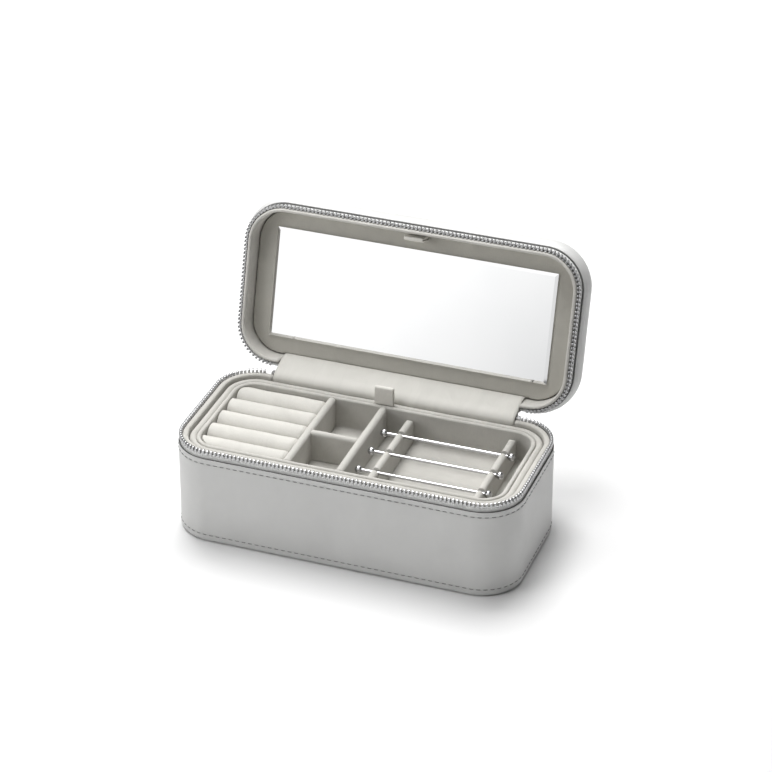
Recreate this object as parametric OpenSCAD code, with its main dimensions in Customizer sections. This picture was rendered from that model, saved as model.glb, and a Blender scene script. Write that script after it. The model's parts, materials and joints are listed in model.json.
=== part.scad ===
// Travel jewelry case, open, with a lift-out tray, ring rolls, charm bars and a mirror lid.
// Millimetres, +Z up, front towards -Y, origin at the centre of the underside.

/* [Overall] */
// Width of the base, left to right
case_w = 210; // [150:1:300]
// Depth of the base, front to back
case_d = 100; // [80:1:160]
// Outer corner radius in plan
corner_r = 25; // [18:0.5:40]
// Height of the base leather
base_h = 56.5; // [40:0.5:90]
// Height of the closed case
closed_h = 84.5; // [70:0.5:130]
// Opening angle of the lid from closed
open_angle = 106; // [90:1:120]

/* [Shell layers] */
// Leather thickness
leather_t = 1.2; // [0.8:0.1:2]
// Zip tape thickness
tape_t = 0.7; // [0.4:0.1:1]
// Stiff board thickness
board_t = 1.8; // [1.2:0.1:3]
// Lining thickness on the base walls
lining_t = 2.1; // [1:0.1:4]
// Outward bulge of the padded lid
lid_bulge = 2.1; // [0:0.1:4]

/* [Zip] */
// Tooth pitch along the row
tooth_pitch = 2.4; // [1.8:0.1:4]
// Tooth length along the row
tooth_l = 1.2; // [0.8:0.1:2]
// Tooth thickness across the tape
tooth_t = 2.6; // [1.8:0.1:4]
// Tooth height
tooth_h = 3.5; // [2:0.1:6]
// Half length of the hinge between the two ends of the zip
hinge_half = 76; // [50:1:100]

/* [Tray] */
// Height of the tray rim above the floor
tray_top = 58.5; // [45:0.5:80]
// Outside height of the tray
tray_h = 22; // [15:0.5:40]
// Gap between the case outline and the tray wall
tray_inset = 6.6; // [5:0.1:10]
// Left divider position
divider_left_x = -35; // [-60:0.5:-20]
// Middle divider position
divider_mid_x = -2.8; // [-15:0.1:10]
// Cross divider position
divider_cross_y = -1.5; // [-15:0.5:15]
// Divider thickness
divider_t = 4; // [2:0.1:6]
// Left bar rest position
rest_left_x = 14.5; // [8:0.5:30]
// Right bar rest position
rest_right_x = 77.8; // [60:0.1:82]
// Height of the bar rests
rest_top = 54.8; // [48:0.1:58]

/* [Ring rolls] */
// Pitch of the ring rolls
roll_pitch = 14.8; // [10:0.1:20]
// Radius of a ring roll
roll_r = 7.25; // [4:0.05:10]

/* [Charm bars] */
// Bar diameter
bar_d = 2; // [1.6:0.1:5]
// Ball diameter
ball_d = 4.6; // [4:0.1:8]
// Spacing of the bars
bar_pitch = 21.2; // [14:0.1:26]
// Position of the middle bar
bar_mid_y = -2; // [-8:0.5:8]
// Height of the bar axis
bar_z = 52.2; // [48:0.1:56]
// Left ball centre
ball_left_x = 4.2; // [2:0.1:12]
// Right ball centre
ball_right_x = 82.3; // [80:0.1:88]

/* [Mirror] */
// Mirror width
mirror_w = 175; // [100:1:190]
// Mirror height
mirror_h = 67; // [50:0.5:80]
// Mirror thickness
mirror_t = 1.8; // [1:0.1:4]
// Bevel width round the mirror
mirror_bevel = 1.8; // [0.5:0.1:4]

/* [Pull tabs] */
// Width of a pull tab
tab_w = 11.6; // [8:0.1:20]
// Length of a pull tab
tab_l = 11.4; // [8:0.1:20]
// Thickness of a folded pull tab
tab_t = 2.4; // [1.5:0.1:4]
// Tray tab centre
tray_tab_x = -3.2; // [-10:0.1:10]
// Mirror tab centre
mirror_tab_x = 0.5; // [-10:0.1:10]

/* [Hidden] */
$fn = 96;
fit = 0.05;
edge_r = 2.5;
bottom_step = 0.3;
board_z = bottom_step + leather_t + fit;
ledge_z = board_z + board_t - 0.3;
axis_y = case_d / 2 + 1;
axis_z = base_h + 4.7;
tape_out = leather_t;
tape_in = leather_t + tape_t;
board_in = tape_in + board_t;
lining_in = board_in + lining_t;
tray_z0 = tray_top - tray_h;
tray_floor = tray_z0 + 2.7;
lid_z = base_h + 12.2;
lid_in = 5.5;
panel_in = 6;
panel_z = closed_h - 9.5;
panel_t = 3;
panel_axis_y = case_d / 2 - panel_in - 1.5;
panel_axis_z = panel_z + panel_t / 2;
well_in = tray_inset + 6.6;
tooth_in = leather_t + tape_t / 2;
tooth_start = 3.2;
teeth_base_z = base_h + 2;
teeth_lid_z = axis_z + 1.2;
tape_base_top = base_h + 4.4;
tape_lid_z = axis_z + 2.2;
teeth_clear_in = 3;
wall_top = base_h - 1.5;
lid_board_z = closed_h - 4.3;
rim_r = 1.3;
lid_rim_z = axis_z + 1.4;
rod_l = ball_right_x - ball_left_x;
screw_r = bar_d * 0.35;
slider_x = 70;
pull_y = case_d / 2 + 6.2;
pull_z = base_h + 0.7;
leather_grey = [0.72, 0.72, 0.71];
cream = [0.91, 0.90, 0.86];
beige = [0.83, 0.82, 0.78];
steel = [0.85, 0.85, 0.86];
card = [0.55, 0.50, 0.44];
foam = [0.80, 0.78, 0.72];
stone = [0.72, 0.70, 0.65];

// Rounded rectangle in plan
module plan(inset) {
  r = corner_r - inset;
  w = case_w - 2 * inset;
  d = case_d - 2 * inset;
  union() {
    square([w - 2 * r, d], center = true);
    square([w, d - 2 * r], center = true);
    for (sx = [-1, 1], sy = [-1, 1])
      translate([sx * (w / 2 - r), sy * (d / 2 - r)]) circle(r = r);
  }
}

module slab(inset, z0, z1) {
  translate([0, 0, z0]) linear_extrude(height = z1 - z0) plan(inset);
}

module ring(outer, inner, z0, z1) {
  difference() {
    slab(outer, z0, z1);
    slab(inner, z0 - 1, z1 + 1);
  }
}

// Sweep a profile round the outline; profile x runs outward from the outline, y is height
module sweep_side(half, len) {
  rotate([90, 0, 0]) linear_extrude(height = len, center = true) translate([half, 0]) children();
}

module sweep() {
  cx = case_w / 2 - corner_r;
  cy = case_d / 2 - corner_r;
  union() {
    translate([cx, cy, 0]) rotate_extrude(angle = 90) translate([corner_r, 0]) children();
    translate([-cx, cy, 0]) rotate([0, 0, 90])
      rotate_extrude(angle = 90) translate([corner_r, 0]) children();
    translate([-cx, -cy, 0]) rotate([0, 0, 180])
      rotate_extrude(angle = 90) translate([corner_r, 0]) children();
    translate([cx, -cy, 0]) rotate([0, 0, 270])
      rotate_extrude(angle = 90) translate([corner_r, 0]) children();
    sweep_side(case_w / 2, 2 * cy) children();
    rotate([0, 0, 180]) sweep_side(case_w / 2, 2 * cy) children();
    rotate([0, 0, 90]) sweep_side(case_d / 2, 2 * cx) children();
    rotate([0, 0, 270]) sweep_side(case_d / 2, 2 * cx) children();
  }
}

// Straight extrusion along X of a profile drawn in Y and Z
module along_x(x0, x1) {
  translate([x0, 0, 0]) rotate([90, 0, 90]) linear_extrude(height = x1 - x0) children();
}

// Straight extrusion along Y of a profile drawn in X and Z
module along_y(y0, y1) {
  translate([0, y1, 0]) rotate([90, 0, 0]) linear_extrude(height = y1 - y0) children();
}

// Carry lid parts, drawn closed, to the open position
module opened() {
  translate([0, axis_y, axis_z]) rotate([-open_angle, 0, 0])
    translate([0, -axis_y, -axis_z]) children();
}

module hinge_gap(z0, z1) {
  translate([-hinge_half, case_d / 2 - 15, z0]) cube([2 * hinge_half, 30, z1 - z0]);
}

// Length along the tooth path, from the right end of the hinge round to the left end
path_r = corner_r - tooth_in;
path_x = case_w / 2 - corner_r;
path_y = case_d / 2 - corner_r;
seg_a = path_x - hinge_half;
seg_arc = path_r * 3.14159265 / 2;
len_1 = seg_a;
len_2 = len_1 + seg_arc;
len_3 = len_2 + 2 * path_y;
len_4 = len_3 + seg_arc;
len_5 = len_4 + 2 * path_x;
len_6 = len_5 + seg_arc;
len_7 = len_6 + 2 * path_y;
len_8 = len_7 + seg_arc;
len_9 = len_8 + seg_a;
tooth_n = floor((len_9 - 5) / tooth_pitch);

// Angle of the outward direction at a length
function out_angle(s) =
  s < len_1 ? 90 :
  s < len_2 ? 90 - (s - len_1) / seg_arc * 90 :
  s < len_3 ? 0 :
  s < len_4 ? -(s - len_3) / seg_arc * 90 :
  s < len_5 ? -90 :
  s < len_6 ? -90 - (s - len_5) / seg_arc * 90 :
  s < len_7 ? -180 :
  s < len_8 ? -180 - (s - len_7) / seg_arc * 90 : -270;

// Arc centre or straight foot at a length
function foot(s) =
  s < len_1 ? [hinge_half + s, path_y] :
  s < len_2 ? [path_x, path_y] :
  s < len_3 ? [path_x, path_y - (s - len_2)] :
  s < len_4 ? [path_x, -path_y] :
  s < len_5 ? [path_x - (s - len_4), -path_y] :
  s < len_6 ? [-path_x, -path_y] :
  s < len_7 ? [-path_x, -path_y + (s - len_6)] :
  s < len_8 ? [-path_x, path_y] : [-path_x + (s - len_8), path_y];

// A row of teeth, each slotted from slot_z0 to slot_z1 above its foot to grip the tape
module teeth(z0, shift, slot_z0, slot_z1) {
  for (i = [0 : tooth_n - 1])
    let (s = tooth_start + i * tooth_pitch + shift)
      translate([foot(s)[0], foot(s)[1], z0]) rotate([0, 0, out_angle(s)]) translate([path_r, 0, 0])
        rotate([90, 0, 0]) linear_extrude(height = tooth_l, center = true) difference() {
          translate([-tooth_t / 2, 0]) square([tooth_t, tooth_h]);
          translate([-tape_t / 2 - fit, slot_z0]) square([tape_t + 2 * fit, slot_z1 - slot_z0]);
        }
}

// ---------------------------------------------------------------- base
module base_leather() {
  z = bottom_step + edge_r;
  color(leather_grey) sweep() union() {
    translate([-leather_t, z]) square([leather_t, base_h - leather_t / 2 - z]);
    translate([-leather_t / 2, base_h - leather_t / 2]) circle(r = leather_t / 2);
    intersection() {
      translate([-edge_r, z]) difference() {
        circle(r = edge_r);
        circle(r = edge_r - leather_t);
      }
      translate([-edge_r, 0]) square([edge_r, z]);
    }
    translate([-4, bottom_step]) square([4 - edge_r, leather_t]);
  }
}

module base_bottom() {
  color(leather_grey) slab(4 + fit, 0, bottom_step + leather_t);
}

module base_floor_board() {
  color(card) slab(2.6, board_z, board_z + board_t - 0.35);
}

module base_wall_board() {
  color(card) ring(tape_in, board_in, ledge_z, wall_top);
}

module lining_profile(z0) {
  union() {
    translate([-lining_in, z0]) square([lining_t, wall_top - z0]);
    translate([-lining_in, wall_top]) square([lining_in - lining_t, 3.3]);
    translate([-lining_in, base_h + 1.7]) square([lining_in - teeth_clear_in, 0.8]);
    translate([-lining_in + rim_r, base_h + 1.8]) square([0.2, 2]);
    translate([-lining_in + rim_r, base_h + 2.5]) circle(r = rim_r);
    translate([-teeth_clear_in - rim_r, base_h + 2.5]) circle(r = rim_r);
  }
}

module base_lining() {
  color(cream) difference() {
    sweep() lining_profile(tray_z0 - 0.3);
    hinge_gap(wall_top, base_h + 10);
  }
}

module base_ledge() {
  color(cream) ring(board_in, 9.5, ledge_z, tray_z0 - 0.3);
}

module base_floor_pad() {
  color(cream) slab(9.5 + fit, ledge_z, ledge_z + 1.55);
}

module zip_tape_base() {
  color(cream) difference() {
    ring(tape_out, tape_in, base_h - 10, tape_base_top);
    hinge_gap(base_h - 12, base_h + 10);
  }
}

module zip_teeth_base() {
  color(steel) teeth(teeth_base_z, 0, -1, tape_base_top + fit - teeth_base_z);
}

module zip_end_stops() {
  color(steel) for (sx = [-1, 1]) translate([sx * (hinge_half + 1), 0, 0]) along_x(-0.9, 0.9) difference() {
    translate([case_d / 2 - 2.8, teeth_base_z]) square([3, 2.8]);
    translate([case_d / 2 - tape_in - fit, wall_top])
      square([tape_t + 2 * fit, tape_base_top + fit - wall_top]);
  }
}

module hinge_strip_base() {
  color(leather_grey) along_x(-hinge_half, hinge_half) union() {
    translate([case_d / 2 - 1.4, base_h]) square([1.8, 4.3]);
    translate([case_d / 2 - 0.4, base_h + 3.3]) square([1.9, 1.4]);
    translate([axis_y, axis_z]) circle(r = 1);
  }
}

module hinge_lining_base() {
  color(beige) along_x(-hinge_half, hinge_half) union() {
    translate([case_d / 2 - lining_in, wall_top]) square([4.3, 4.2]);
    translate([case_d / 2 - lining_in + rim_r, wall_top]) square([1.7, 5.5]);
    translate([case_d / 2 - lining_in + rim_r, base_h + 2.7]) circle(r = rim_r);
    translate([case_d / 2 - lining_in + 3, base_h + 2.7]) circle(r = rim_r);
  }
}

module zip_tail() {
  color(cream) translate([slider_x - 8, case_d / 2, base_h - 4]) cube([17, 0.5, 4]);
}

module zip_slider() {
  y0 = case_d / 2 + 0.5;
  z0 = base_h - 3.4;
  color(steel) union() {
    translate([slider_x - 5, y0, z0]) cube([10, 0.8, 6]);
    translate([slider_x - 1.2, y0, z0 + 1.2]) cube([2.4, 4.2, 3.6]);
    translate([slider_x - 5, y0 + 3.2, z0]) cube([10, 1.2, 6]);
    translate([slider_x - 2.8, y0 + 4.4, pull_z - 0.9]) cube([0.9, 2.2, 1.8]);
    translate([slider_x + 1.9, y0 + 4.4, pull_z - 0.9]) cube([0.9, 2.2, 1.8]);
    translate([slider_x - 2.4, pull_y, pull_z]) rotate([0, 90, 0]) cylinder(r = 0.6, h = 4.8);
  }
}

module zip_pull() {
  color(steel) difference() {
    union() {
      translate([slider_x - 1.6, pull_y, pull_z]) rotate([0, 90, 0]) cylinder(r = 1.25, h = 3.2);
      translate([slider_x - 1.2, pull_y - 0.7, pull_z - 5]) cube([2.4, 1.4, 4.4]);
      translate([0, pull_y + 0.7, 0]) rotate([90, 0, 0]) linear_extrude(height = 1.4) union() {
        translate([slider_x - 2.4, pull_z - 20]) square([4.8, 15.6]);
        translate([slider_x, pull_z - 20]) circle(r = 2.4);
      }
    }
    translate([slider_x - 3, pull_y, pull_z]) rotate([0, 90, 0]) cylinder(r = 0.66, h = 6);
    translate([slider_x, pull_y + 3, pull_z - 20]) rotate([90, 0, 0]) cylinder(r = 1.1, h = 6);
  }
}

// ---------------------------------------------------------------- tray
module tray_shell() {
  t = 3.3;
  color(cream) union() {
    slab(tray_inset + 1, tray_z0, tray_z0 + 1.5);
    sweep() union() {
      translate([-tray_inset - t, tray_z0]) square([t, tray_h - t / 2]);
      translate([-tray_inset - t / 2, tray_top - t / 2]) circle(r = t / 2);
    }
  }
}

module tray_insert() {
  t = 3.1;
  color(cream) union() {
    slab(well_in - 1, tray_z0 + 1.55, tray_floor);
    sweep() union() {
      translate([-well_in, tray_z0 + 1.55]) square([t, tray_h - 1.55 - t / 2]);
      translate([-well_in + t / 2, tray_top - t / 2]) circle(r = t / 2);
    }
  }
}

module wall_profile(pos, t, top) {
  union() {
    translate([pos - t / 2, tray_floor]) square([t, top - t / 2 - tray_floor]);
    translate([pos, top - t / 2]) circle(r = t / 2);
  }
}

module divider_left() {
  y = case_d / 2 - well_in;
  color(cream) along_y(-y, y) wall_profile(divider_left_x, divider_t, tray_top - 0.3);
}

module divider_middle() {
  y = case_d / 2 - well_in;
  color(cream) along_y(-y, y) wall_profile(divider_mid_x, divider_t, tray_top - 0.3);
}

module divider_cross() {
  color(cream) along_x(divider_left_x + divider_t / 2, divider_mid_x - divider_t / 2)
    wall_profile(divider_cross_y, divider_t, tray_top - 0.6);
}

module bar_rest(x) {
  r = bar_d / 2 + 0.3;
  y = case_d / 2 - well_in - 0.6;
  difference() {
    intersection() {
      along_y(-y, y) wall_profile(x, divider_t + 0.4, rest_top);
      along_x(x - 5, x + 5) union() {
        translate([-y, tray_floor]) square([2 * y, rest_top - 4 - tray_floor]);
        translate([-y + 4, tray_floor]) square([2 * y - 8, rest_top - tray_floor]);
        translate([-y + 4, rest_top - 4]) circle(r = 4);
        translate([y - 4, rest_top - 4]) circle(r = 4);
      }
    }
    for (i = [-1, 0, 1]) {
      translate([x - 5, bar_mid_y + i * bar_pitch, bar_z]) rotate([0, 90, 0]) cylinder(r = r, h = 10);
      translate([x - 5, bar_mid_y + i * bar_pitch - r, bar_z]) cube([10, 2 * r, 8]);
    }
  }
}

module bar_rest_left() {
  color(cream) bar_rest(rest_left_x);
}

module bar_rest_right() {
  color(cream) bar_rest(rest_right_x);
}

module ring_pad() {
  color(cream) intersection() {
    translate([-case_w / 2, -case_d / 2, tray_floor])
      cube([case_w / 2 + divider_left_x - divider_t / 2, case_d, tray_top - 0.55 - 2 * roll_r - tray_floor]);
    slab(well_in + 0.2, 0, closed_h);
  }
}

module ring_roll(i) {
  color(cream) intersection() {
    translate([-case_w / 2, (3 - i) * roll_pitch, tray_top - 0.55 - roll_r]) rotate([0, 90, 0])
      cylinder(r = roll_r, h = case_w / 2 + divider_left_x - divider_t / 2 - 0.1);
    slab(well_in + 1.2, 0, closed_h);
  }
}

module ring_roll_1() {
  ring_roll(1);
}

module ring_roll_2() {
  ring_roll(2);
}

module ring_roll_3() {
  ring_roll(3);
}

module ring_roll_4() {
  ring_roll(4);
}

module ring_roll_5() {
  ring_roll(5);
}

module tray_pull_tab() {
  y = case_d / 2 - tray_inset - 3.4;
  color(cream) along_x(tray_tab_x - tab_w / 2, tray_tab_x + tab_w / 2) union() {
    translate([y - tab_t / 2, tray_top + 0.4 + tab_t / 2]) square([tab_t, tab_l - tab_t]);
    translate([y, tray_top + 0.4 + tab_t / 2]) circle(r = tab_t / 2);
    translate([y, tray_top + 0.4 + tab_l - tab_t / 2]) circle(r = tab_t / 2);
  }
}

// ---------------------------------------------------------------- charm bars
module charm_bar(i) {
  y = bar_mid_y + (2 - i) * bar_pitch;
  color(steel) union() {
    translate([ball_left_x, y, bar_z]) rotate([0, 90, 0]) cylinder(d = bar_d, h = rod_l - 2.7);
    translate([ball_left_x, y, bar_z]) sphere(d = ball_d);
    translate([ball_left_x + 1, y, bar_z]) rotate([0, 90, 0]) cylinder(r = screw_r, h = rod_l - 1);
  }
}

module bar_ball(i) {
  y = bar_mid_y + (2 - i) * bar_pitch;
  color(steel) difference() {
    translate([ball_right_x, y, bar_z]) sphere(d = ball_d);
    translate([ball_right_x - 5, y, bar_z]) rotate([0, 90, 0]) cylinder(r = screw_r + 0.05, h = 5.3);
  }
}

module charm_bar_1() {
  charm_bar(1);
}

module charm_bar_2() {
  charm_bar(2);
}

module charm_bar_3() {
  charm_bar(3);
}

module bar_ball_1() {
  bar_ball(1);
}

module bar_ball_2() {
  bar_ball(2);
}

module bar_ball_3() {
  bar_ball(3);
}

// ---------------------------------------------------------------- lid, drawn closed
module lid_leather() {
  t = closed_h;
  b = lid_bulge;
  color(leather_grey) opened() union() {
    sweep() polygon([[-0.3, lid_z], [0.25 * b, lid_z + 0.9], [0.67 * b, lid_z + 2.8],
      [0.9 * b, lid_z + 5.3], [b, lid_z + 7.8], [0.9 * b, t - 5.5], [0.57 * b, t - 3.3],
      [-0.2, t - 1.5], [-2.2, t - 0.4], [-4.6, t], [-9, t], [-9, t - 1.2], [-4.8, t - 1.2],
      [-2.8, t - 1.5], [-1.2, t - 2.4], [0.57 * b - 1.2, t - 3.9], [0.9 * b - 1.2, t - 5.7],
      [b - 1.2, lid_z + 7.8], [0.9 * b - 1.2, lid_z + 5.5], [0.67 * b - 1.2, lid_z + 3.5],
      [-0.6, lid_z + 1.7], [-1.15, lid_z + 0.6], [-1.15, lid_z]]);
    slab(8.9, t - 1.2, t);
  }
}

module lid_pad() {
  t = closed_h;
  b = lid_bulge;
  color(foam) opened() union() {
    sweep() polygon([[-1.85, lid_z + 2.6], [-0.3, lid_z + 2.6], [0.67 * b - 1.32, lid_z + 3.5],
      [0.9 * b - 1.32, lid_z + 5.5], [b - 1.32, lid_z + 7.8], [0.9 * b - 1.32, t - 5.75],
      [0.57 * b - 1.32, t - 4], [-1.25, t - 2.55], [-2.85, t - 1.6], [-4.8, t - 1.3], [-9, t - 1.3],
      [-9, t - 2.45], [-1.85, t - 2.45]]);
    slab(8.9, t - 2.45, t - 1.3);
  }
}

module lid_wall_board() {
  color(card) opened() ring(tape_in, board_in, lid_z + 0.8, lid_board_z - fit);
}

module lid_top_board() {
  color(card) opened() slab(tape_in, lid_board_z, lid_board_z + board_t);
}

module lid_lining() {
  z0 = lid_rim_z;
  z1 = lid_board_z - fit;
  color(cream) opened() union() {
    difference() {
      sweep() polygon([[-lining_t, lid_z + 0.75], [-lining_t, teeth_lid_z + tooth_h + 0.5],
        [-teeth_clear_in, teeth_lid_z + tooth_h + 0.2], [-teeth_clear_in, z0 + 1], [-3.35, z0 + 0.3],
        [-4, z0], [-4.6, z0 + 0.3], [-4.95, z0 + 1], [-5.1, lid_z + 0.3], [-5.3, panel_z], [-lid_in, z1],
        [-board_in, z1], [-board_in, lid_z + 0.75]]);
      hinge_gap(z0 - 1, lid_z + 0.75);
    }
    slab(lid_in - 0.1, z1 - 0.85, z1);
  }
}

module zip_tape_lid() {
  color(cream) opened() difference() {
    ring(tape_out, tape_in, tape_lid_z, lid_z + 2);
    hinge_gap(axis_z, lid_z + 6);
  }
}

module zip_teeth_lid() {
  color(steel) opened() teeth(teeth_lid_z, tooth_pitch / 2, tape_lid_z - fit - teeth_lid_z, tooth_h + 1);
}

module hinge_strip_lid() {
  color(leather_grey) opened() along_x(-hinge_half, hinge_half)
    translate([case_d / 2 - 1.4, axis_z + 1.8]) square([1.8, lid_z - axis_z - 1.85]);
}

module hinge_lining_lid() {
  y = case_d / 2;
  color(beige) opened() along_x(-hinge_half, hinge_half) union() {
    translate([y - 4.9, axis_z + 2.9]) square([3.4, lid_z + 0.75 - axis_z - 2.9]);
    translate([y - 3.7, axis_z + 1.6]) square([1, 3]);
    translate([y - 3.6, axis_z + 2.9]) circle(r = rim_r);
    translate([y - 2.8, axis_z + 2.9]) circle(r = rim_r);
  }
}

// ---------------------------------------------------------------- mirror panel
// The straight part of the panel's lower edge is a half round on the axis that it folds about
module mirror_panel() {
  x = hinge_half + 2;
  color(stone) opened() difference() {
    union() {
      difference() {
        slab(panel_in, panel_z, panel_z + panel_t);
        translate([-x, panel_axis_y, panel_z - 1]) cube([2 * x, 10, panel_t + 2]);
      }
      translate([-x, panel_axis_y, panel_axis_z]) rotate([0, 90, 0]) cylinder(d = panel_t, h = 2 * x);
    }
    translate([-mirror_w / 2 + 2, -mirror_h / 2 + 2, panel_z - 1]) cube([mirror_w - 4, mirror_h - 4, 2]);
  }
}

module mirror_glass() {
  w = mirror_w;
  h = mirror_h;
  a = 24;
  z = panel_z - mirror_t / 2;
  color([0.93, 0.94, 0.95]) opened() union() {
    difference() {
      translate([-w / 2, -h / 2, panel_z - mirror_t]) cube([w, h, mirror_t]);
      for (s = [-1, 1]) {
        translate([s * (w / 2 - mirror_bevel), 0, panel_z - mirror_t]) rotate([0, s * -a, 0])
          translate([-10, -h, -20]) cube([20, 2 * h, 20]);
        translate([0, s * (h / 2 - mirror_bevel), panel_z - mirror_t]) rotate([s * a, 0, 0])
          translate([-w, -10, -20]) cube([2 * w, 20, 20]);
      }
    }
    translate([-w / 2 + 2.1, -h / 2 + 2.1, panel_z - 0.5]) cube([w - 4.2, h - 4.2, 1.45]);
  }
}

module mirror_pull_tab() {
  y = -case_d / 2 + 9;
  color(cream) opened() along_x(mirror_tab_x - tab_w / 2, mirror_tab_x + tab_w / 2) union() {
    translate([y - tab_t / 2, panel_z - tab_l + tab_t / 2]) square([tab_t, tab_l - tab_t / 2]);
    translate([y, panel_z - tab_l + tab_t / 2]) circle(r = tab_t / 2);
  }
}

base_leather();
base_bottom();
base_floor_board();
base_wall_board();
base_lining();
base_ledge();
base_floor_pad();
zip_tape_base();
zip_teeth_base();
zip_end_stops();
zip_slider();
zip_tail();
hinge_strip_base();
hinge_lining_base();
zip_pull();
tray_shell();
tray_insert();
divider_left();
divider_cross();
divider_middle();
bar_rest_left();
bar_rest_right();
ring_pad();
ring_roll_1();
ring_roll_2();
ring_roll_3();
ring_roll_4();
ring_roll_5();
tray_pull_tab();
charm_bar_1();
charm_bar_2();
charm_bar_3();
bar_ball_1();
bar_ball_2();
bar_ball_3();
lid_leather();
lid_pad();
lid_wall_board();
lid_top_board();
lid_lining();
zip_tape_lid();
zip_teeth_lid();
hinge_strip_lid();
hinge_lining_lid();
mirror_panel();
mirror_glass();
mirror_pull_tab();
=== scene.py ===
"""A zip-round travel jewelry case, open: leather shells, velvet tray, ring rolls, bars and mirror lid.

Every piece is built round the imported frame, in metres, with the lid in its open rest pose.
"""
import json
import math

import bmesh
import bpy
import numpy as np
from mathutils import Matrix, Vector, noise

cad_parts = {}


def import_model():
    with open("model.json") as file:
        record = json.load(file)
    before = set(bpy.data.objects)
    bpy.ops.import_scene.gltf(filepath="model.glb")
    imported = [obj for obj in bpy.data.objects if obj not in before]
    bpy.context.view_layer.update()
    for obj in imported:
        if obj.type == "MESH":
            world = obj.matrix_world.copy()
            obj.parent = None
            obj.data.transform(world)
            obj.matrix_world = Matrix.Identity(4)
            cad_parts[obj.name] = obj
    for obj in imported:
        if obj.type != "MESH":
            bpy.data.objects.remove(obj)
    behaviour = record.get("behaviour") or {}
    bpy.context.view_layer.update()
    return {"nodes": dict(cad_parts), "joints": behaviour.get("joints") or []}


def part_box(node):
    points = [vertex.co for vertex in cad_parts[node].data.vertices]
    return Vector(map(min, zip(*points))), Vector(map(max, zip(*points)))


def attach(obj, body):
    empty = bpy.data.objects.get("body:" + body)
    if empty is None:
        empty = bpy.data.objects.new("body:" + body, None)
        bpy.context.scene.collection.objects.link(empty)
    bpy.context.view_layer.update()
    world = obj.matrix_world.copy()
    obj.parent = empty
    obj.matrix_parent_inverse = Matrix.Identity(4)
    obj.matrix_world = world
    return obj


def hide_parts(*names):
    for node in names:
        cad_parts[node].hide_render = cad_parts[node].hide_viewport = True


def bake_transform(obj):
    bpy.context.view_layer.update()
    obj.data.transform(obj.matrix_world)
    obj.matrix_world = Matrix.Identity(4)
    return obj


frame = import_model()
nodes = frame["nodes"]
joints = {j["name"]: j for j in frame["joints"]}

# ---------------------------------------------------------------- sizes, in metres
MM = 0.001
CORNER_R = 25 * MM
LEATHER_T = 1.2 * MM
TOOTH_PITCH = 2.4 * MM
TOOTH_START = 3.2 * MM
TOOTH_SPARE = 5 * MM
TOOTH_INSET = 1.55 * MM
STITCH_L = 2.7 * MM
THREAD_R = 0.27 * MM
ROLL_PITCH = 14.8 * MM
RIM_BAND = 4 * MM
SEED_STEP = 7.3

low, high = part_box("base_leather")
HALF_W = high.x
HALF_D = high.y
BASE_Z = low.z
BASE_TOP = high.z
FOOT_X = HALF_W - CORNER_R
FOOT_Y = HALF_D - CORNER_R
PERIMETER = 4 * FOOT_X + 4 * FOOT_Y + math.tau * CORNER_R
STITCH_N = round(PERIMETER / (4.1 * MM))
STITCH_PITCH = PERIMETER / STITCH_N
ROW_TOP = BASE_TOP - 3.3 * MM
ROW_BOTTOM = BASE_Z + 4.3 * MM
HINGE_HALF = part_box("hinge_strip_base")[1].x
hinge = joints["lid_hinge"]
HINGE_AT = Vector(hinge["pos_m"])
OPEN_ANGLE = math.radians(-hinge["range_deg"][0])
OPENED = (
    Matrix.Translation(HINGE_AT)
    @ Matrix.Rotation(-OPEN_ANGLE, 4, "X")
    @ Matrix.Translation(-HINGE_AT)
)


def closed_box(node):
    """Lowest and highest corner of a lid node when the lid is shut."""
    back = OPENED.inverted()
    points = np.array([back @ v.co for v in nodes[node].data.vertices])
    return Vector(points.min(0)), Vector(points.max(0))


def box_of(node, opened):
    """The box of a node, with the lid shut if the node opens with the lid."""
    return closed_box(node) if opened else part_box(node)


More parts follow.
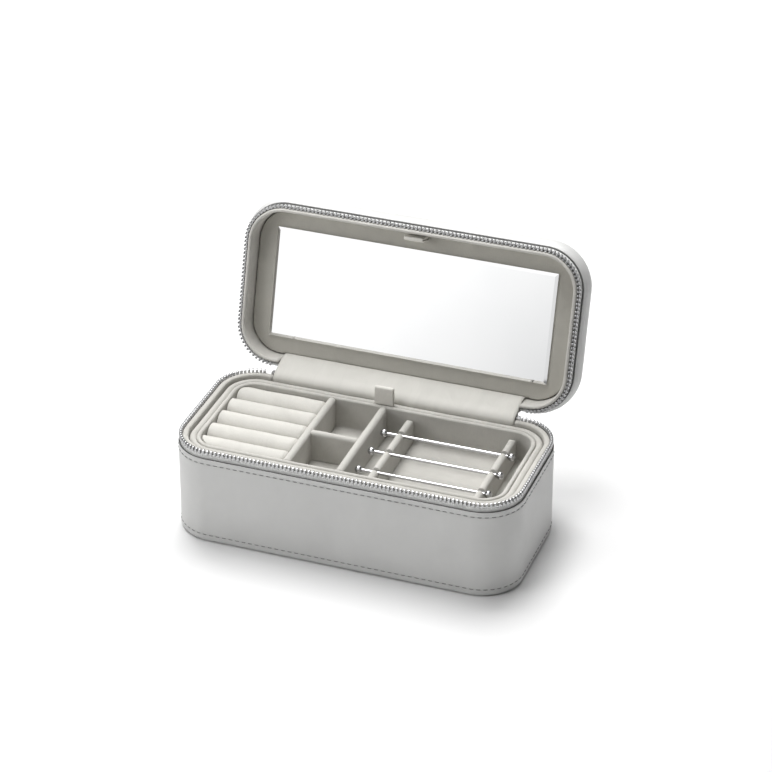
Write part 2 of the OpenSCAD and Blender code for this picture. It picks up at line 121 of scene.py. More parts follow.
# ---------------------------------------------------------------- materials
class Shader:
    """A Principled material whose nodes are added one line at a time."""

    def __init__(self, name, **fixed):
        self.mat = bpy.data.materials.new(name)
        self.mat.use_nodes = True
        self.tree = self.mat.node_tree
        self.bsdf = self.tree.nodes["Principled BSDF"]
        for socket, value in fixed.items():
            self.bsdf.inputs[socket.replace("_", " ")].default_value = value
        self.coords = self.node("ShaderNodeTexCoord").outputs["Object"]

    def node(self, kind, **settings):
        made = self.tree.nodes.new(kind)
        for key, value in settings.items():
            setattr(made, key, value)
        return made

    def link(self, out, into):
        self.tree.links.new(out, into)
        return into

    def use_uv(self):
        self.coords = self.node("ShaderNodeTexCoord").outputs["UV"]

    def stretched(self, x, y, z):
        """Coordinates scaled differently along each axis."""
        mapping = self.node("ShaderNodeMapping")
        mapping.inputs["Scale"].default_value = (x, y, z)
        self.link(self.coords, mapping.inputs["Vector"])
        return mapping.outputs["Vector"]

    def noise(self, scale, detail=3.0, rough=0.55, distortion=0.0, coords=None):
        made = self.node("ShaderNodeTexNoise")
        made.inputs["Scale"].default_value = scale
        made.inputs["Detail"].default_value = detail
        made.inputs["Roughness"].default_value = rough
        made.inputs["Distortion"].default_value = distortion
        self.link(coords or self.coords, made.inputs["Vector"])
        return made.outputs["Fac"]

    def cells(self, scale):
        made = self.node("ShaderNodeTexVoronoi", feature="DISTANCE_TO_EDGE")
        made.inputs["Scale"].default_value = scale
        self.link(self.coords, made.inputs["Vector"])
        return made.outputs["Distance"]

    def waves(self, scale, direction, distortion=0.0):
        made = self.node("ShaderNodeTexWave", bands_direction=direction)
        made.inputs["Scale"].default_value = scale
        made.inputs["Distortion"].default_value = distortion
        self.link(self.coords, made.inputs["Vector"])
        return made.outputs["Fac"]

    def maths(self, operation, a, b):
        made = self.node("ShaderNodeMath", operation=operation)
        for socket, value in zip(made.inputs, (a, b)):
            if isinstance(value, (int, float)):
                socket.default_value = value
            else:
                self.link(value, socket)
        return made.outputs[0]

    def ramp(self, factor, stops):
        made = self.node("ShaderNodeValToRGB")
        ramp = made.color_ramp
        while len(ramp.elements) < len(stops):
            ramp.elements.new(0.5)
        for element, (place, colour) in zip(ramp.elements, stops):
            element.position = place
            element.color = (*colour, 1)
        self.link(factor, made.inputs["Fac"])
        return made.outputs["Color"]

    def colour(self, factor, dark, light, start=0.3, end=0.7):
        self.link(self.ramp(factor, [(start, dark), (end, light)]), self.bsdf.inputs["Base Color"])

    def roughness(self, factor, least, most):
        made = self.node("ShaderNodeMapRange")
        made.inputs["To Min"].default_value = least
        made.inputs["To Max"].default_value = most
        self.link(factor, made.inputs["Value"])
        self.link(made.outputs["Result"], self.bsdf.inputs["Roughness"])

    def bump(self, height, depth):
        """Adds a bump of that depth in metres on top of those added before."""
        made = self.node("ShaderNodeBump")
        made.inputs["Distance"].default_value = depth
        self.link(height, made.inputs["Height"])
        normal = self.bsdf.inputs["Normal"]
        if normal.is_linked:
            self.link(normal.links[0].from_socket, made.inputs["Normal"])
        self.link(made.outputs["Normal"], normal)


def shades(colour, dark, light):
    """The same colour made darker and lighter."""
    return [tuple(c * k for c in colour) for k in (dark, light)]


def leather(name, colour, flat=False):
    """Smooth satin leather: fine closed grain, soft undulation and a little uneven colour."""
    s = Shader(name, Specular_IOR_Level=0.42, Coat_Weight=0.12, Coat_Roughness=0.38)
    if flat:
        s.use_uv()
    dark, light = shades(colour, 0.96, 1.03)
    s.colour(s.noise(28, 4, 0.6, 0.4), dark, light)
    s.roughness(s.noise(160, 3), 0.40, 0.52)
    s.bump(s.noise(45, 2), 0.00022)
    s.bump(s.cells(1150), 0.000035)
    s.bump(s.noise(2600, 3), 0.00002)
    return s.mat


def velvet(name, colour, nap=0.07, sheen=0.35):
    """Short brushed pile: brushed patches, fine fibre grain and a soft sheen."""
    s = Shader(name, Specular_IOR_Level=0.12, Sheen_Weight=sheen, Sheen_Roughness=0.45)
    s.bsdf.inputs["Sheen Tint"].default_value = (1.0, 0.98, 0.94, 1)
    patches = s.noise(55, 4, 0.6, 1.2)
    fibres = s.noise(1400, 4, 0.7, coords=s.stretched(1, 1, 0.35))
    dark, light = shades(colour, 1 - nap, 1 + nap * 0.6)
    s.colour(s.maths("ADD", s.maths("MULTIPLY", patches, 0.65), s.maths("MULTIPLY", fibres, 0.35)),
             dark, light, 0.36, 0.62)
    s.roughness(fibres, 0.86, 1.0)
    s.bump(patches, 0.00018)
    s.bump(fibres, 0.00012)
    return s.mat


def woven(name, colour, pitch):
    """Plain weave: crossed threads at that pitch."""
    s = Shader(name, Specular_IOR_Level=0.2, Sheen_Weight=0.15, Sheen_Roughness=0.5)
    turns = math.tau / (pitch * 20)
    warp = s.waves(turns, "X", distortion=0.6)
    weft = s.waves(turns, "Z", distortion=0.6)
    cross = s.maths("MULTIPLY", warp, weft)
    dark, light = shades(colour, 0.86, 1.05)
    s.colour(s.maths("ADD", s.maths("MULTIPLY", cross, 0.5), s.maths("MULTIPLY", s.noise(90, 3), 0.5)),
             dark, light, 0.25, 0.65)
    s.roughness(cross, 0.8, 0.95)
    s.bump(cross, 0.00012)
    s.bump(s.noise(2500, 2), 0.00004)
    return s.mat


def hinge_cloth(name, colour):
    """Thin coated lining cloth, seen along its own length: faint creases and a fine weave."""
    s = Shader(name, Specular_IOR_Level=0.25, Sheen_Weight=0.2, Sheen_Roughness=0.5)
    s.use_uv()
    creases = s.noise(60, 4, 0.6, 0.8, coords=s.stretched(0.6, 1.6, 1))
    dark, light = shades(colour, 0.95, 1.03)
    s.colour(creases, dark, light)
    s.roughness(s.noise(300, 2), 0.62, 0.75)
    s.bump(creases, 0.0003)
    s.bump(s.noise(1800, 3), 0.00004)
    return s.mat


def metal(name, colour, least, most, scale=500):
    """Bright metal with a fine uneven polish."""
    s = Shader(name, Metallic=1.0)
    dark, light = shades(colour, 0.93, 1.0)
    s.colour(s.noise(scale, 3), dark, light)
    s.roughness(s.noise(scale * 1.7, 4), least, most)
    s.bump(s.noise(scale * 3, 2), 0.000006)
    return s.mat


def mirror_silver():
    """Silvered glass with the faintest haze."""
    s = Shader("mirror_silver", Metallic=1.0, Specular_IOR_Level=0.5)
    s.colour(s.noise(20, 2), (0.93, 0.935, 0.94), (0.96, 0.963, 0.965))
    s.roughness(s.noise(35, 4), 0.008, 0.03)
    return s.mat


def card(name, colour):
    """Grey board with pressed fibres."""
    s = Shader(name, Specular_IOR_Level=0.2)
    dark, light = shades(colour, 0.85, 1.08)
    fibres = s.noise(500, 5, 0.7, coords=s.stretched(0.4, 1, 1))
    s.colour(fibres, dark, light)
    s.roughness(fibres, 0.8, 0.95)
    s.bump(fibres, 0.00008)
    return s.mat


def thread(name, colour):
    """Twisted sewing thread."""
    s = Shader(name, Specular_IOR_Level=0.3, Sheen_Weight=0.2)
    twist = s.waves(500, "DIAGONAL")
    dark, light = shades(colour, 0.8, 1.04)
    s.colour(twist, dark, light)
    s.roughness(twist, 0.6, 0.8)
    s.bump(twist, 0.00005)
    return s.mat


GREY = (0.60, 0.60, 0.59)
CREAM = (0.50, 0.489, 0.458)
LEATHER = leather("grey_leather", GREY)
HINGE_LEATHER = leather("hinge_leather", GREY, flat=True)
THREAD = thread("grey_thread", (0.27, 0.27, 0.265))
VELVET = velvet("cream_velvet", CREAM)
ROLL_VELVET = velvet("roll_velvet", (0.58, 0.568, 0.532), nap=0.06, sheen=0.45)
PANEL_VELVET = velvet("panel_velvet", (0.50, 0.487, 0.443), nap=0.05, sheen=0.25)
LID_VELVET = velvet("lid_velvet", (0.60, 0.587, 0.553), nap=0.06, sheen=0.3)
HINGE_CLOTH = hinge_cloth("hinge_cloth", (0.64, 0.628, 0.587))
TAPE = woven("zip_tape", (0.80, 0.80, 0.785), 0.5 * MM)
# near-black colour for the leather's cut edges: painted shade for the gap between the zip tape and the
# leather
GAP_SHADE = leather("painted_gap_shade", (0.11, 0.11, 0.108))
TAB_CLOTH = velvet("tab_cloth", (0.78, 0.762, 0.715), nap=0.05, sheen=0.3)
ZIP_METAL = metal("zip_metal", (0.48, 0.48, 0.485), 0.22, 0.36)
BAR_METAL = metal("bar_metal", (0.56, 0.56, 0.57), 0.04, 0.08, scale=120)
MIRROR = mirror_silver()
CARD = card("grey_board", (0.42, 0.38, 0.33))
FOAM = card("foam", (0.66, 0.62, 0.54))


# ---------------------------------------------------------------- mesh tools
def bumpy(point, size, seed=0.0):
    """Smooth noise from -1 to 1 whose lumps are about that size."""
    return noise.noise(Vector(point) / size + Vector((seed, seed * 1.7, seed * 0.3)))


def piece(name, verts, faces, material, body=None, slot=None, opened=False, replaces=(), uvs=None):
    """A shown mesh that rides on a body and stands for the CAD nodes named."""
    mesh = bpy.data.meshes.new(name)
    mesh.from_pydata([tuple(map(float, v)) for v in verts], [], faces)
    if uvs:
        layer = mesh.uv_layers.new(name="along")
        for loop in mesh.loops:
            layer.data[loop.index].uv = uvs[loop.vertex_index]
    work = bmesh.new()
    work.from_mesh(mesh)
    bmesh.ops.remove_doubles(work, verts=work.verts, dist=1e-6)
    bmesh.ops.recalc_face_normals(work, faces=work.faces)
    work.to_mesh(mesh)
    work.free()
    if opened:
        mesh.transform(OPENED)
    return shown(name, mesh, material, body, replaces)


def shown(name, mesh, material, body, replaces):
    """Puts a finished mesh in the scene, smooth and in one material."""
    mesh.materials.clear()
    mesh.materials.append(material)
    mesh.polygons.foreach_set("use_smooth", [True] * len(mesh.polygons))
    obj = bpy.data.objects.new(name, mesh)
    bpy.context.scene.collection.objects.link(obj)
    if replaces:
        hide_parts(*replaces)
    if body:
        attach(obj, body)
    return obj


def rounded(corners, steps):
    """A closed outline from corners (a, b, radius), each turned into an arc."""
    made = []
    count = len(corners)
    for i, (a, b, radius) in enumerate(corners):
        here = Vector((a, b))
        before = Vector(corners[i - 1][:2]) - here
        after = Vector(corners[(i + 1) % count][:2]) - here
        if radius <= 0:
            made.append(here)
            continue
        half = before.angle(after) / 2
        reach = min(radius / math.tan(half), before.length * 0.49, after.length * 0.49)
        start = here + before.normalized() * reach
        end = here + after.normalized() * reach
        for k in range(steps + 1):
            t = k / steps
            made.append(start * (1 - t) ** 2 + here * 2 * t * (1 - t) + end * t**2)
    return made


def even(line, step, closed=True):
    """The same line with no gap over step between its points."""
    made = []
    pairs = list(zip(line, line[1:] + line[:1])) if closed else list(zip(line, line[1:]))
    for a, b in pairs:
        parts = max(1, math.ceil((b - a).length / step))
        made += [a.lerp(b, k / parts) for k in range(parts)]
    return made if closed else made + [line[-1]]


def corner_feet(middle):
    """The corner arcs' centres, clockwise, between a walk's two ends, each that far off the back's middle."""
    return [Vector((middle, FOOT_Y)), Vector((FOOT_X, FOOT_Y)), Vector((FOOT_X, -FOOT_Y)),
            Vector((-FOOT_X, -FOOT_Y)), Vector((-FOOT_X, FOOT_Y)), Vector((-middle, FOOT_Y))]


def stations(step, arc_steps, gap=False):
    """Places round the outline, clockwise seen from above, from the middle of the back.

    Each is (foot x, foot y, out x, out y, length): a point at out o is foot + out * (CORNER_R + o).
    With a gap they run from the hinge's right end round to its left end.
    """
    made = []
    length = 0.0
    middle = HINGE_HALF if gap else 0.0
    feet = corner_feet(middle)
    for number, (a, b) in enumerate(zip(feet, feet[1:])):
        angle = 90 - 90 * number
        span = (b - a).length
        parts = max(1, round(span / step))
        out = Vector((math.cos(math.radians(angle)), math.sin(math.radians(angle))))
        for k in range(parts):
            p = a.lerp(b, k / parts)
            made.append((p.x, p.y, out.x, out.y, length + span * k / parts))
        length += span
        if number < 4:
            for k in range(arc_steps):
                turn = math.radians(angle - 90 * k / arc_steps)
                made.append((b.x, b.y, math.cos(turn), math.sin(turn),
                             length + CORNER_R * math.pi / 2 * k / arc_steps))
            length += CORNER_R * math.pi / 2
    if gap:
        made.append((-middle, FOOT_Y, 0.0, 1.0, length))
    return made


def along_outline(s, inset=0.0, middle=0.0):
    """The place at length s, clockwise, on the outline or on a line inset from it.

    It starts at the middle of the back, or that far to the right of it.
    """
    ends, quarter = FOOT_X - middle, (CORNER_R - inset) * math.pi / 2
    lengths = [ends, quarter, 2 * FOOT_Y, quarter, 2 * FOOT_X, quarter, 2 * FOOT_Y, quarter, ends]
    for k, span in enumerate(lengths):
        if s <= span or k == len(lengths) - 1:
            break
        s -= span
    feet, corner, angle, share = corner_feet(middle), (k + 1) // 2, 90 - 90 * (k // 2), s / span
    if k % 2:
        foot, turn = feet[corner], math.radians(angle - 90 * share)
    else:
        foot, turn = feet[corner].lerp(feet[corner + 1], share), math.radians(angle)
    return foot.x, foot.y, math.cos(turn), math.sin(turn)


def at(place, out, z):
    """The point at that height and that far outside the outline."""
    return Vector((place[0] + place[2] * (CORNER_R + out), place[1] + place[3] * (CORNER_R + out), z))


def ring_grid(profile, places, change):
    """Points of a profile of (out, z) swept round the outline, as rows, one row a place."""
    rows = []
    for place in places:
        row = []
        for p in profile:
            out, z = change(p[0], p[1], place) if change else (p[0], p[1])
            row.append(at(place, out, z))
        rows.append(row)
    return rows


def ring_faces(count, width, round_profile=True, round_path=True):
    """Faces between rows of points, along a path and round a profile that may each close."""
    faces = []
    for i in range(count if round_path else count - 1):
        for j in range(width if round_profile else width - 1):
            a, b = i * width + j, i * width + (j + 1) % width
            c, d = ((i + 1) % count) * width + (j + 1) % width, ((i + 1) % count) * width + j
            faces.append((a, b, c, d))
    return faces


def tube_faces(count, width, first=0):
    """Faces of a tube of rings of points, closed at both ends; first is its first point's number."""
    last = first + (count - 1) * width
    faces = [tuple(first + n for n in face) for face in ring_faces(count, width, round_path=False)]
    return faces + [tuple(range(first, first + width)), tuple(range(last + width - 1, last - 1, -1))]


def swept(name, profile, places, material, change=None, gap=False, **words):
    """A closed profile swept round the outline, or round all but the hinge gap."""
    rows = ring_grid(profile, places, change)
    verts = [v for row in rows for v in row]
    faces = (tube_faces if gap else ring_faces)(len(rows), len(profile))
    return piece(name, verts, faces, material, **words)


def cap(verts, faces, loop, height, steps, lift, lump, seed):
    """Fills a loop of vertex numbers towards the middle line of the plan, crowned by lift."""
    centre_x = HALF_W - HALF_D
    rows = [loop]
    for k in range(1, steps + 1):
        t = k / steps
        row = []
        for n in loop:
            p = Vector(verts[n])
            middle = Vector((max(-centre_x, min(centre_x, p.x)), 0, p.z))
            q = p.lerp(middle, t)
            q.z = height + lift * (1 - (1 - t) ** 2)
            if lump:
                q.z += lump * bumpy(q, 18 * MM, seed) * min(1, 4 * t)
            row.append(len(verts))
            verts.append(q)
        rows.append(row)
    for a, b in zip(rows, rows[1:]):
        for i in range(len(loop)):
            j = (i + 1) % len(loop)
            faces.append((a[i], a[j], b[j], b[i]))


def plate(name, profile, places, material, steps=8, lift=(0.0, 0.0), lump=0.0, change=None, **words):
    """A solid plate: an open profile round the edge, and a cap at each end of it."""
    rows = ring_grid(profile, places, change)
    width = len(profile)
    verts = [v for row in rows for v in row]
    faces = ring_faces(len(rows), width, round_profile=False)
    first = [i * width for i in range(len(rows))]
    last = [i * width + width - 1 for i in range(len(rows))]
    cap(verts, faces, first, profile[0][1], steps, lift[0], lump, 1.0)
    cap(verts, faces, last, profile[-1][1], steps, lift[1], lump, 2.0)
    return piece(name, verts, faces, material, **words)


def arc(centre, radius, start, end, steps):
    """Points (a, b) on an arc, in degrees."""
    made = []
    for k in range(steps + 1):
        t = math.radians(start + (end - start) * k / steps)
        made.append(Vector((centre[0] + radius * math.cos(t), centre[1] + radius * math.sin(t))))
    return made


def softened(node, name, material, voxel, smooths, lump=0.0, body=None, swell=0.0):
    """A cloth-covered copy of a CAD node: remeshed fine, edges rounded, swollen and gently uneven."""
    obj = bpy.data.objects.new(name, nodes[node].data.copy())
    bpy.context.scene.collection.objects.link(obj)
    remesh = obj.modifiers.new("remesh", "REMESH")
    remesh.mode = "VOXEL"
    remesh.voxel_size = voxel
    smooth = obj.modifiers.new("smooth", "SMOOTH")
    smooth.factor = 0.5
    smooth.iterations = smooths
    graph = bpy.context.evaluated_depsgraph_get()
    mesh = bpy.data.meshes.new_from_object(obj.evaluated_get(graph))
    bpy.data.objects.remove(obj)
    if lump or swell:
        places = [v.co.copy() for v in mesh.vertices]
        normals = [v.normal.copy() for v in mesh.vertices]
        moved = [p + n * (swell + lump * bumpy(p, 7 * MM)) for p, n in zip(places, normals)]
        mesh.vertices.foreach_set("co", [c for p in moved for c in p])
    shown(name, mesh, material, body, [node])


# ---------------------------------------------------------------- base
def paint_gap_shade(obj, is_edge):
    """Gives the faces whose centre passes the test a near-black colour: painted shade that stands for the gap
    between the zip tape and the cut leather edge.
    """
    obj.data.materials.append(GAP_SHADE)
    for face in obj.data.polygons:
        if is_edge(face.center):
            face.material_index = 1


def stitch_pull(s, height, row_z):
    """How far the stitches pull the leather in at a place, deepest at the needle holes."""
    away, groove, groove_depth, hole_depth = abs(height - row_z), 0.5 * MM, 0.12 * MM, 0.26 * MM
    if away > 4 * groove:
        return 0.0
    hole = abs(math.cos(math.pi * s / STITCH_PITCH)) ** 6
    return math.exp(-((away / groove) ** 2)) * (groove_depth + hole_depth * hole)


def base_leather():
    """Outer wall of the base, pulled in a little along both rows of stitches."""
    fold_r, fold_in, reach, ripple = 4 * MM, -4 * MM, 6 * MM, 0.22 * MM
    row_band, row_step = 3 * MM, 0.25 * MM
    outline = even(rounded([
        (0, BASE_Z, fold_r), (0, BASE_TOP, 0.9 * MM), (-LEATHER_T, BASE_TOP, 0.5 * MM),
        (-LEATHER_T, BASE_Z + LEATHER_T, 1.3 * MM), (fold_in, BASE_Z + LEATHER_T, 0.4 * MM),
        (fold_in, BASE_Z, 0.4 * MM)], 7), 3 * MM)
    profile = []
    for a, b in zip(outline, outline[1:] + outline[:1]):
        profile.append(a)
        outer = a.x > -0.2 * MM and b.x > -0.2 * MM
        if outer and any(min(abs(a.y - z), abs(b.y - z)) < row_band for z in (ROW_TOP, ROW_BOTTOM)):
            profile += even([a, b], row_step, closed=False)[1:-1]

    def change(out, z, place):
        if out > -0.9 * MM:
            out -= stitch_pull(place[4], z, ROW_TOP) + stitch_pull(place[4], z, ROW_BOTTOM)
            spread = min(1.0, (z - BASE_Z) / reach, (BASE_TOP - z) / reach)
            out += spread * ripple * bumpy((place[2] * 60 * MM, place[4], z), 34 * MM)
        return out, z

    wall = swept("base_leather_wall", profile, stations(0.8 * MM, 38), LEATHER, change, body="base",
                 slot="outer_leather", replaces=["base_leather"])
    # the top edge is painted near-black, as painted shade for the gap under the zip tape
    paint_gap_shade(wall, lambda p: p.z > BASE_TOP - 0.12 * MM)


def stitches(name, z, out):
    """A row of short thread stitches round the base, each dipping into the leather at its ends."""
    verts, faces = [], []
    sides, rings, dip, waver = 8, 9, 0.16 * MM, 0.05 * MM
    for n in range(STITCH_N):
        s = (n + 0.5) * STITCH_PITCH
        faces += tube_faces(rings, sides, len(verts))
        for k in range(rings):
            t = -1 + 2 * k / (rings - 1)
            place = along_outline(s + t * STITCH_L / 2)
            thick = THREAD_R * (max(0.0, 1 - abs(t) ** 6)) ** 0.5
            middle = at(place, out - dip * t * t, z + waver * bumpy((s, k, 0), 1.3))
            for j in range(sides):
                turn = math.tau * j / sides
                offset = Vector((place[2] * math.cos(turn), place[3] * math.cos(turn), math.sin(turn)))
                verts.append(middle + offset * max(thick, 0.02 * MM))
    piece(name, verts, faces, THREAD, body="base", slot="outer_leather")


def tooth_shape():
    """One zip tooth as rings of (along, out, up): two legs that grip the tape and a rounded head."""
    half_t, foot, height, half_l = 1.08 * MM, 0.8 * MM, 3.5 * MM, 0.62 * MM
    slot, slot_top = 0.42 * MM, 2.1 * MM
    ring = rounded([
        (-half_t, foot, 0.25 * MM), (-half_t, height, 0.9 * MM), (half_t, height, 0.9 * MM),
        (half_t, foot, 0.25 * MM), (slot, foot, 0.15 * MM), (slot, slot_top, 0.3 * MM),
        (-slot, slot_top, 0.3 * MM), (-slot, foot, 0.15 * MM)], 3)
    layers = []
    for along, shrink in ((-half_l, 0.22), (-half_l * 0.72, 0.03), (half_l * 0.72, 0.03), (half_l, 0.22)):
        layer = []
        for p in ring:
            # sides turn in towards the ends, and the head swells a little
            swell = 1 + 0.25 * max(0.0, p.y / height - 0.55)
            x = p.x * (1 - shrink * 0.25)
            y = height / 2 + (p.y - height / 2) * (1 - shrink * 0.25)
            layer.append((along * swell, x, y))
        layers.append(layer)
    return layers


def teeth(node, shift, opened, body):
    """A whole row of zip teeth, shifted along so that the two rows interleave."""
    layers, z = tooth_shape(), box_of(node, opened)[0].z
    verts, faces = [], []
    radius = CORNER_R - TOOTH_INSET
    path = 2 * (FOOT_X - HINGE_HALF) + 2 * FOOT_X + 4 * FOOT_Y + math.tau * radius
    for n in range(math.floor((path - TOOTH_SPARE) / TOOTH_PITCH)):
        place = along_outline(TOOTH_START + n * TOOTH_PITCH + shift, TOOTH_INSET, HINGE_HALF)
        faces += tube_faces(len(layers), len(layers[0]), len(verts))
        out, along = Vector((place[2], place[3], 0)), Vector((place[3], -place[2], 0))
        foot = at(place, -TOOTH_INSET, z)
        for layer in layers:
            verts += [foot + along * a + out * o + Vector((0, 0, u)) for a, o, u in layer]
    piece(f"{node}_row", verts, faces, ZIP_METAL, body=body, slot="zip_metal", opened=opened, replaces=[node])


def base_lining():
    """Velvet wall lining of the base, rolled over the board at the rim."""
    low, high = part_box("base_lining")
    board, rim = BASE_TOP - 1.5 * MM, high.z
    inner = -5.8 * MM
    wall, step, hook = inner + 2.1 * MM, inner + 3.3 * MM, inner + 3.6 * MM
    outline = even(rounded([
        (inner, low.z, 0.3 * MM), (inner, rim, 1.45 * MM), (inner + 3.1 * MM, rim, 1.45 * MM),
        (step, board + 3.2 * MM, 0.4 * MM), (hook, board + 2 * MM, 0.2 * MM),
        (hook, board, 0.2 * MM), (wall, board, 0.2 * MM), (wall, low.z, 0.3 * MM)], 6), 2.5 * MM)

    def change(out, z, place):
        if behind(out, place):
            z = min(z, board)
        elif z > board:
            z += 0.12 * MM * bumpy((place[4], z, out), 16 * MM)
        return out, z

    swept("base_lining_rim", outline, with_step(stations(2 * MM, 24)), VELVET, change, body="base",
          slot="velvet_lining", replaces=["base_lining"])


def behind(out, place):
    """Whether a point lies on the back, where the hinge sheets cross the rims."""
    x = place[0] + place[2] * (CORNER_R + out)
    return place[3] > 0.99 and abs(x) < HINGE_HALF - 0.01 * MM


def with_step(places):
    """Adds a pair of close stations at each end of the hinge, so that a cut there is sharp."""
    made, inside = [], HINGE_HALF - 0.02 * MM
    for a, b in zip(places, places[1:] + places[:1]):
        made.append(a)
        if a[3] > 0.999 and b[3] > 0.999 and a[1] == b[1]:
            for x in (inside, HINGE_HALF, -HINGE_HALF, -inside):
                if min(a[0], b[0]) < x < max(a[0], b[0]):
                    share = (x - a[0]) / (b[0] - a[0])
                    made.append((x, *a[1:4], a[4] + share * max(0, b[4] - a[4])))
    return made


def zip_tape(node, opened, body):
    """Woven tape whose edge swells into a cord under the teeth."""
    low, high = box_of(node, opened)
    outer, inner, cord, below = -1.2 * MM, -1.9 * MM, 0.62 * MM, 1.4 * MM
    up = -1 if opened else 1
    edge, back = (low.z + below, high.z) if opened else (high.z - below, low.z)
    neck, middle = edge - up * 2.6 * cord, (outer + inner) / 2
    outline = [Vector((outer, back)), Vector((outer, neck))]
    outline += [Vector((p.x, edge + up * (p.y - cord))) for p in arc((middle, 0), cord, 25, 155, 7)]
    outline += [Vector((inner, neck)), Vector((inner, back))]
    swept(f"{node}_woven", even(outline, 1.5 * MM), stations(1.5 * MM, 26, gap=True), TAPE, gap=True,
          body=body, slot="zip_tape", opened=opened, replaces=[node])


def base_ledge():
    """Velvet ledge round the inside, which the tray rests on."""
    low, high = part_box("base_ledge")
    inner, outer = -9.5 * MM, -3.7 * MM
    outline = rounded([(inner, low.z, 0.5 * MM), (inner, high.z, 1.8 * MM),
                       (outer, high.z, 0.4 * MM), (outer, low.z, 0.4 * MM)], 6)

    def change(out, z, place):
        soft = 0.16 * MM * bumpy((place[4], z, out), 19 * MM)
        return (out - abs(soft), z) if out < -5 * MM else (out, z)

    swept("base_ledge_velvet", even(outline, 4 * MM), stations(3 * MM, 20), VELVET, change,
          body="base", slot="velvet_lining", replaces=["base_ledge"])


def base_floor_pad():
    """Velvet floor pad of the lower compartment, with soft edges."""
    low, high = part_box("base_floor_pad")
    edge, radius = -9.75 * MM, 0.7 * MM
    profile = even([Vector((edge, low.z)), *arc((edge - radius, high.z - radius), radius, 0, 90, 5)],
                   1 * MM, closed=False)
    plate("base_floor_velvet", profile, stations(3 * MM, 20), VELVET, steps=14, lump=0.2 * MM,
          body="base", slot="velvet_lining", replaces=["base_floor_pad"])


def rim_wave(place, out):
    """Slight unevenness of a hand-folded velvet rim."""
    return 0.13 * MM * bumpy((place[4], out, 0), 15 * MM, 3.1)


def tray_shell():
    """Outer box of the tray, its velvet rolled over the rim."""
    low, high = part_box("tray_shell")
    outer, inner, radius, foot = -6.6 * MM, -10.6 * MM, 2.0 * MM, 1.2 * MM
    floor = low.z + 1.5 * MM
    profile = [Vector((outer - 2 * MM, low.z)), *arc((outer - foot, low.z + foot), foot, -90, 0, 5),
               *arc((outer - radius, high.z - radius), radius, 0, 180, 14), Vector((inner, floor)),
               Vector((inner - 1 * MM, floor))]

    def change(out, z, place):
        if z > high.z - RIM_BAND:
            return out + rim_wave(place, out) * 0.6, z + rim_wave(place, 2 * out)
        return out, z

    plate("tray_shell_velvet", even(profile, 4 * MM, closed=False), stations(2 * MM, 24), VELVET,
          change=change, body="tray", slot="tray_board", replaces=["tray_shell"])


def tray_insert():
    """Inner liner of the tray: soft rim, walls and floor."""
    low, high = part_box("tray_insert")
    outer, inner, radius, foot = -10.7 * MM, -13.2 * MM, 1.25 * MM, 1.1 * MM
    floor = 39.2 * MM
    profile = [Vector((outer - 2 * MM, low.z)), Vector((outer, low.z + 0.4 * MM)),
               *arc((outer - radius, high.z - radius), radius, 0, 180, 14),
               *arc((inner - foot, floor + foot), foot, 0, -90, 5)]

    def change(out, z, place):
        if z > high.z - RIM_BAND:
            return out + rim_wave(place, 3 * out) * 0.6, z + rim_wave(place, out)
        if out < inner + 0.1 * MM:
            return out - 0.1 * MM * abs(bumpy((place[4], z, 0), 14 * MM)), z
        return out, z

    plate("tray_insert_velvet", even(profile, 3 * MM, closed=False), stations(2 * MM, 20), VELVET,
          steps=18, lump=0.16 * MM, change=change, body="tray", slot="velvet_lining",
          replaces=["tray_insert"])


def ring_roll(number):
    """A stuffed velvet roll: rounded left end, squashed sides and faint gathers at both ends."""
    name = f"ring_roll_{number}"
    low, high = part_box(name)
    middle_z, radius = (low.z + high.z) / 2, (high.z - low.z) / 2
    middle_y = (3 - number) * ROLL_PITCH
    # the tray's inner wall, which the left ends follow round its corners
    wall_y, corner, corner_y = 35.55 * MM, 10.6 * MM, 25 * MM
    around, along = 56, 64
    left_dome, dome_share, right_share = 0.8 * MM, 0.1, 0.04
    seed = number * SEED_STEP

    def end_x(y):
        over = max(0.0, min(abs(y), wall_y) - corner_y)
        return low.x - 0.8 * MM + corner - math.sqrt(corner**2 - over**2)

    def point(angle, t):
        side, up = math.cos(angle), math.sin(angle)
        left, right = max(0.0, 1 - t / dome_share), max(0.0, 1 - (1 - t) / right_share)
        swell = (1 - left**2.4) ** (1 / 2.4) * (1 - 0.3 * right**2)
        gather = 0.4 * MM * (math.exp(-t / 0.07) + math.exp(-(1 - t) / 0.05))
        ripple = gather * noise.noise(Vector((side * 3.4, up * 3.4, seed)))
        slow = 0.2 * MM * bumpy((t * 90 * MM, side * 8 * MM, up * 8 * MM), 17 * MM, seed)
        size = (radius + ripple + slow - 0.08 * MM) * swell
        y = middle_y + max(-ROLL_PITCH / 2, min(ROLL_PITCH / 2, 1.03 * size * side))
        y = max(-wall_y, min(wall_y, y))
        start = end_x(y)
        if left > 0:
            x = start + left_dome * t / dome_share
        else:
            x = start + left_dome + (high.x - start - left_dome) * (t - dome_share) / (1 - dome_share)
        return Vector((x, y, max(low.z, middle_z + size * up)))

    verts = [point(math.tau * j / around, (k / along) ** 1.5)
             for k in range(along + 1) for j in range(around)]
    faces = ring_faces(along + 1, around, round_path=False)
    last = along * around
    faces += [(last + j, last + (j + 1) % around, len(verts)) for j in range(around)]
    verts.append(Vector((high.x - 0.2 * MM, middle_y, middle_z)))
    obj = piece(f"{name}_cushion", verts, faces, ROLL_VELVET, body="tray", slot="velvet_lining",
                replaces=[name])


